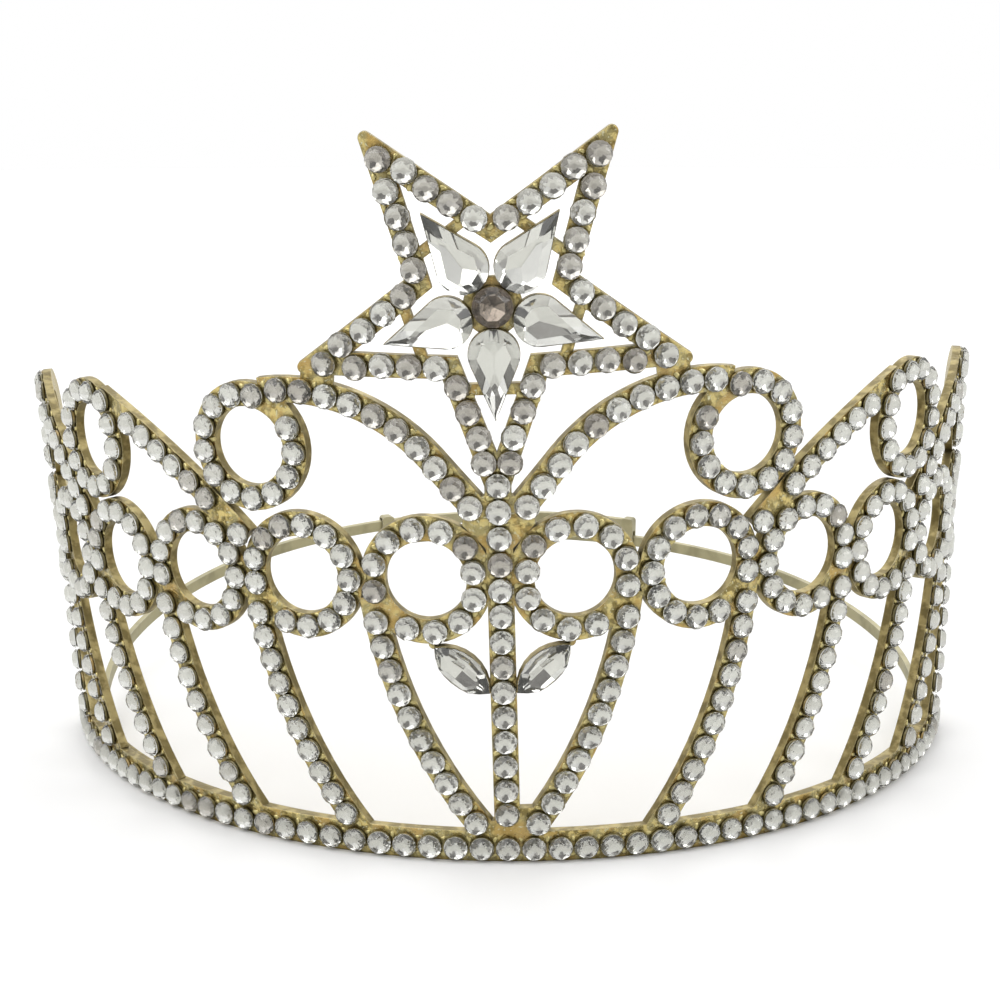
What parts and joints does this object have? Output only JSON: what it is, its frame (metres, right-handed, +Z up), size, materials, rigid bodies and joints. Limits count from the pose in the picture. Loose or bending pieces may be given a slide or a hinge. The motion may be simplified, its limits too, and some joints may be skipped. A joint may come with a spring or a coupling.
{
  "type": "fraternal regalia crown",
  "caption": "Openwork brass crown wall set with clear round stones, a star with its point down in front, and two thin arms that lap behind the head.",
  "frame": {"origin": "centre of the wall's base circle, on the surface that the crown stands on", "axes": "+Z up, -Y toward the front of the crown, +X to the viewer's right"},
  "size_m": [0.1735, 0.177, 0.1153],
  "materials": {
    "brass": "worn gilt with amber spots",
    "pale_brass": "pale satin",
    "clear_stone": "cut and foiled"
  },
  "bodies": {
    "root": {"crown_frame": "brass", "back_arm_left": "pale_brass", "back_arm_right": "pale_brass", "centre_stone": "clear_stone", "pear_stone_upper_left": "clear_stone", "pear_stone_upper_right": "clear_stone", "pear_stone_left": "clear_stone", "pear_stone_right": "clear_stone", "pear_stone_bottom": "clear_stone", "leaf_stone_left": "clear_stone", "leaf_stone_right": "clear_stone", "band_stones": "clear_stone", "stem_stones": "clear_stone", "star_stones": "clear_stone", "ring_stones": "clear_stone", "upper_ring_stones": "clear_stone", "swoop_stones": "clear_stone", "bar_stones": "clear_stone"}
  },
  "joints": []
}
